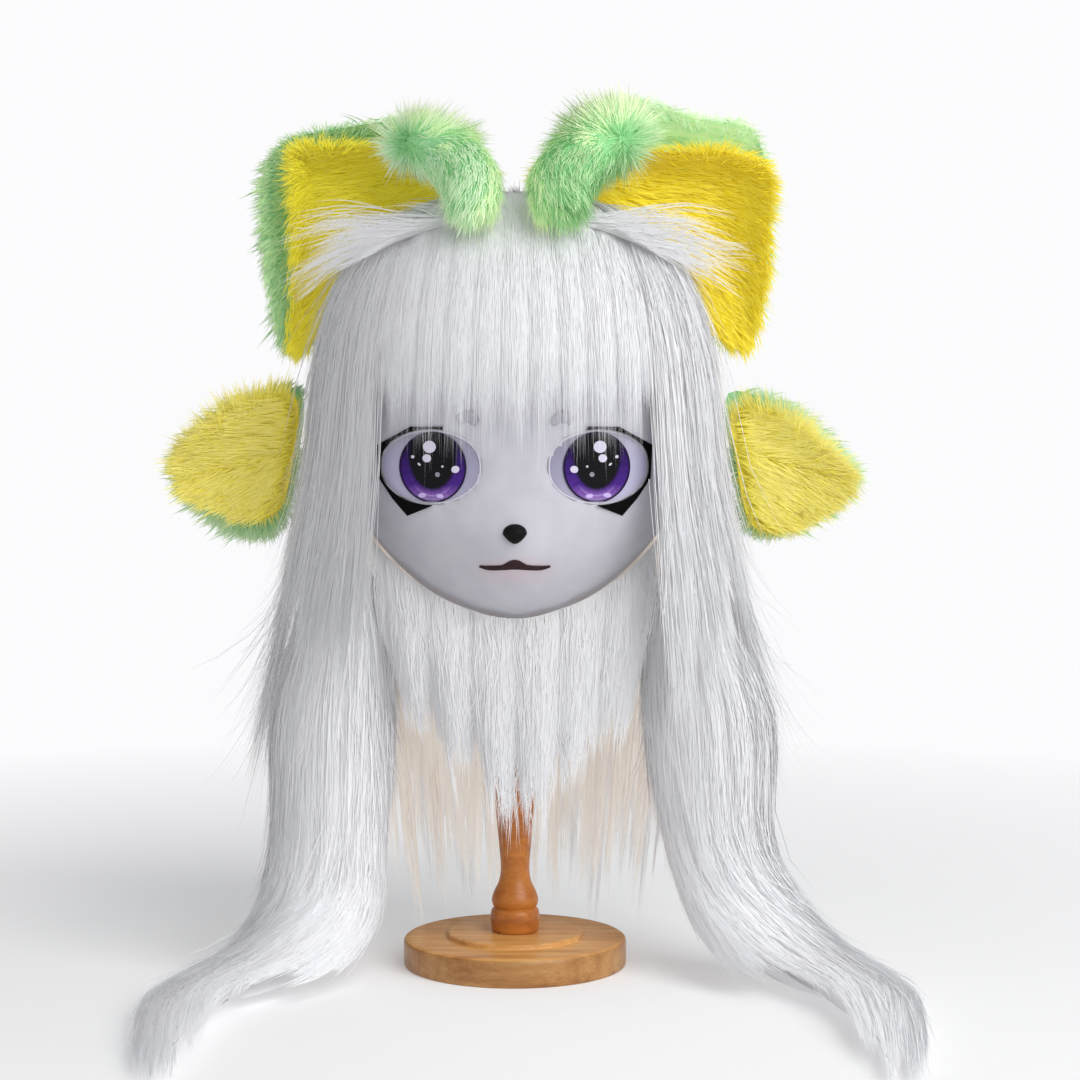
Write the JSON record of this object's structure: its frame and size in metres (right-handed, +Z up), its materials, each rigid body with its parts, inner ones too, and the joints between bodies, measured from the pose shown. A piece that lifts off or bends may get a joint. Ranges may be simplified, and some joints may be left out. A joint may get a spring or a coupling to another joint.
{
  "type": "fursuit head on a wooden stand",
  "caption": "Hollow long-haired animal costume head with upper and side ears, open at the neck, resting on a turned wooden stand.",
  "frame": {"origin": "centre of the underside of the stand's base", "axes": "+Z up along the stand's column, the face looks along -Y, +X to the right of a viewer who faces it"},
  "size_m": [0.5612, 0.5075, 0.6754],
  "materials": {
    "wood": "satin varnish",
    "white_pile": "short pile",
    "white_fur": "long pile",
    "green_fur": "long pile",
    "yellow_fur": "long pile",
    "eye_white": "satin",
    "eye_purple": "printed",
    "black_felt": "felt",
    "nose_black": "satin",
    "mouth_brown": "felt",
    "brow_grey": "felt"
  },
  "bodies": {
    "root": {"stand_base": "wood", "stand_column": "wood", "stand_dome": "wood", "face_mask": "white_pile", "head_hood": "white_pile", "eye_white_l": "eye_white", "eye_white_r": "eye_white", "iris_l": "eye_purple", "iris_r": "eye_purple", "eyelash_l": "black_felt", "eyelash_r": "black_felt", "brow_l": "brow_grey", "brow_r": "brow_grey", "nose": "nose_black", "mouth": "mouth_brown", "bangs": "white_fur", "side_lock_l": "white_fur", "side_lock_r": "white_fur", "tail_l": "white_fur", "tail_r": "white_fur", "hair_back": "white_fur", "chest_ruff": "white_fur", "ear_back_l": "green_fur", "ear_back_r": "green_fur", "ear_inner_l": "yellow_fur", "ear_inner_r": "yellow_fur", "ear_fold_l": "green_fur", "ear_fold_r": "green_fur", "ear_tuft_l": "white_fur", "ear_tuft_r": "white_fur", "side_ear_back_l": "green_fur", "side_ear_back_r": "green_fur", "side_ear_front_l": "yellow_fur", "side_ear_front_r": "yellow_fur"}
  },
  "joints": []
}
